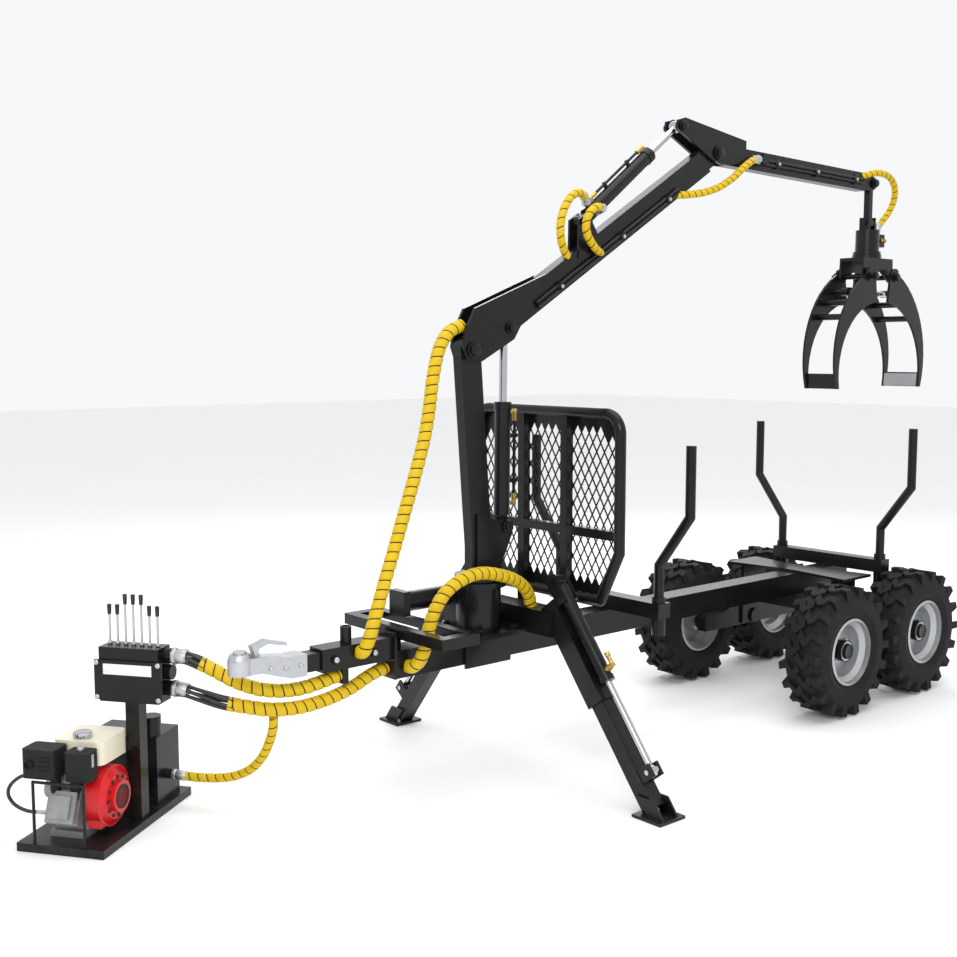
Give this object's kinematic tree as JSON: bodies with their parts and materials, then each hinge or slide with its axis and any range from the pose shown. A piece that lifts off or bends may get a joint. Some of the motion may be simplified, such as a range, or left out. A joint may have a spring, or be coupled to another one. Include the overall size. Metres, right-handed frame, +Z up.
{
  "type": "log trailer with crane",
  "caption": "Black tandem-axle log trailer with side legs, stakes and a slewing grapple crane, coupled by yellow hoses to a petrol hydraulic power pack",
  "frame": {"origin": "centre of the ball socket in the coupler", "axes": "+X forward along the drawbar, +Y left, +Z up"},
  "size_m": [4.5158, 1.61, 2.562],
  "materials": {
    "black_paint": "gloss black paint",
    "zinc_plate": "dull zinc plating",
    "chrome_rod": "polished chrome",
    "silver_rim": "silver paint",
    "tyre_rubber": "matt black rubber",
    "engine_grey": "cast and machined aluminium",
    "engine_red": "gloss red paint",
    "cream_paint": "gloss cream paint",
    "matt_black": "heat-proof matt black",
    "hose_yellow": "yellow spiral wrap on black hose",
    "hose_black": "smooth black hose"
  },
  "bodies": {
    "chassis": {"main_beam": "black_paint", "drawbar_sleeve": "black_paint", "drawbar_tube": "black_paint", "ball_coupler": "zinc_plate", "coupler_lever": "zinc_plate", "platform_frame": "black_paint", "headboard_frame": "black_paint", "headboard_mesh": "black_paint", "bunks": "black_paint", "stakes": "black_paint", "axle_beam": "black_paint", "bogie_beams": "black_paint", "crane_base": "black_paint", "leg_frame": "black_paint", "leg_barrels": "black_paint", "pack_tray": "black_paint", "engine_block": "engine_grey", "engine_fan_cover": "engine_red", "fuel_tank": "cream_paint", "air_cleaner": "matt_black", "muffler": "matt_black", "oil_tank": "black_paint", "valve_block": "black_paint", "valve_levers": "zinc_plate", "boom_feed_hose": "hose_yellow", "base_hose": "hose_yellow", "valve_hose_upper": "hose_yellow", "valve_hose_lower": "hose_yellow", "tank_hose": "hose_yellow", "engine_hose": "hose_black"},
    "front_left_wheel": {"front_left_tyre": "tyre_rubber", "front_left_rim": "silver_rim"},
    "front_right_wheel": {"front_right_tyre": "tyre_rubber", "front_right_rim": "silver_rim"},
    "rear_left_wheel": {"rear_left_tyre": "tyre_rubber", "rear_left_rim": "silver_rim"},
    "rear_right_wheel": {"rear_right_tyre": "tyre_rubber", "rear_right_rim": "silver_rim"},
    "left_leg": {"left_leg": "black_paint", "left_leg_rod": "chrome_rod"},
    "right_leg": {"right_leg": "black_paint", "right_leg_rod": "chrome_rod"},
    "column": {"column": "black_paint"},
    "lift_barrel": {"lift_barrel": "black_paint"},
    "lift_rod": {"lift_rod": "chrome_rod"},
    "boom": {"boom": "black_paint", "boom_hose": "hose_yellow", "ram_hose": "hose_yellow", "stick_hose": "hose_yellow"},
    "stick_barrel": {"stick_barrel": "black_paint"},
    "stick_rod": {"stick_rod": "chrome_rod"},
    "stick": {"stick": "black_paint", "tip_hose": "hose_yellow"},
    "tip_link": {"tip_link": "black_paint"},
    "rotator": {"rotator": "black_paint"},
    "grapple_head": {"grapple_head": "black_paint"},
    "front_jaw": {"front_jaw": "black_paint"},
    "rear_jaw": {"rear_jaw": "black_paint"},
    "grapple_barrel": {"grapple_barrel": "black_paint"},
    "grapple_rod": {"grapple_rod": "chrome_rod"}
  },
  "joints": [
    {"name": "front_left_spin", "type": "hinge", "parent": "chassis", "child": "front_left_wheel", "pos_m": [-2.725, 0.418, -0.291], "axis": [0, 1, 0], "continuous": true},
    {"name": "front_right_spin", "type": "hinge", "parent": "chassis", "child": "front_right_wheel", "pos_m": [-2.725, -0.418, -0.291], "axis": [0, 1, 0], "continuous": true},
    {"name": "rear_left_spin", "type": "hinge", "parent": "chassis", "child": "rear_left_wheel", "pos_m": [-3.333, 0.418, -0.291], "axis": [0, 1, 0], "continuous": true},
    {"name": "rear_right_spin", "type": "hinge", "parent": "chassis", "child": "rear_right_wheel", "pos_m": [-3.333, -0.418, -0.291], "axis": [0, 1, 0], "continuous": true},
    {"name": "left_leg_slide", "type": "slide", "parent": "chassis", "child": "left_leg", "axis": [0, -0.6155, 0.7881], "range_m": [0, 0.25]},
    {"name": "right_leg_slide", "type": "slide", "parent": "chassis", "child": "right_leg", "axis": [0, 0.6155, 0.7881], "range_m": [0, 0.25]},
    {"name": "crane_slew", "type": "hinge", "parent": "chassis", "child": "column", "pos_m": [-1.01, 0, 0.17], "axis": [0, 0, 1], "range_deg": [-110, 110], "deforming": ["boom_feed_hose"]},
    {"name": "boom_lift", "type": "hinge", "parent": "column", "child": "boom", "pos_m": [-0.955, 0, 1.022], "axis": [0, 1, 0], "range_deg": [-18, 36]},
    {"name": "lift_barrel_tilt", "type": "hinge", "parent": "column", "child": "lift_barrel", "pos_m": [-1.125, 0, 0.361], "axis": [0, 1, 0], "range_deg": [-2.5, 5]},
    {"name": "lift_rod_slide", "type": "slide", "parent": "lift_barrel", "child": "lift_rod", "axis": [-0.0135, 0, 0.9999], "range_m": [-0.053, 0.104]},
    {"name": "stick_fold", "type": "hinge", "parent": "boom", "child": "stick", "pos_m": [-2.325, 0, 1.859], "axis": [0, -1, 0], "range_deg": [-8, 75], "deforming": ["stick_hose"]},
    {"name": "stick_barrel_tilt", "type": "hinge", "parent": "boom", "child": "stick_barrel", "pos_m": [-1.535, 0, 1.519], "axis": [0, 1, 0], "range_deg": [-0.3, 1.7], "deforming": ["boom_hose", "ram_hose"]},
    {"name": "stick_rod_slide", "type": "slide", "parent": "stick_barrel", "child": "stick_rod", "axis": [-0.7938, 0, 0.6082], "range_m": [-0.034, 0.302]},
    {"name": "link_swing", "type": "hinge", "parent": "stick", "child": "tip_link", "pos_m": [-3.54, 0, 1.837], "axis": [0, 1, 0], "range_deg": [-45, 45], "deforming": ["tip_hose"]},
    {"name": "rotator_swing", "type": "hinge", "parent": "tip_link", "child": "rotator", "pos_m": [-3.54, 0, 1.647], "axis": [1, 0, 0], "range_deg": [-30, 30]},
    {"name": "grapple_turn", "type": "hinge", "parent": "rotator", "child": "grapple_head", "pos_m": [-3.54, 0, 1.49], "axis": [0, 0, 1], "continuous": true},
    {"name": "front_jaw_close", "type": "hinge", "parent": "grapple_head", "child": "front_jaw", "pos_m": [-3.445, 0, 1.382], "axis": [0, 1, 0], "range_deg": [-6, 33]},
    {"name": "rear_jaw_close", "type": "hinge", "parent": "grapple_head", "child": "rear_jaw", "pos_m": [-3.635, 0, 1.382], "axis": [0, -1, 0], "range_deg": [-6.5, 33.5]},
    {"name": "grapple_barrel_tilt", "type": "hinge", "parent": "front_jaw", "child": "grapple_barrel", "pos_m": [-3.37, 0, 1.307], "axis": [0, 1, 0], "range_deg": [-33.5, 6.5]},
    {"name": "grapple_rod_slide", "type": "slide", "parent": "grapple_barrel", "child": "grapple_rod", "axis": [-1, 0, 0], "range_m": [-0.106, 0.02]}
  ],
  "couplings": [
    {"joint": "lift_barrel_tilt", "follows": "boom_lift", "ratio": 0.13},
    {"joint": "lift_rod_slide", "follows": "boom_lift", "m_per_rad": 0.1633},
    {"joint": "stick_barrel_tilt", "follows": "stick_fold", "ratio": 0.005},
    {"joint": "stick_rod_slide", "follows": "stick_fold", "m_per_rad": 0.2292},
    {"joint": "rear_jaw_close", "follows": "front_jaw_close", "ratio": 1},
    {"joint": "grapple_barrel_tilt", "follows": "front_jaw_close", "ratio": -1},
    {"joint": "grapple_rod_slide", "follows": "front_jaw_close", "m_per_rad": -0.18}
  ]
}
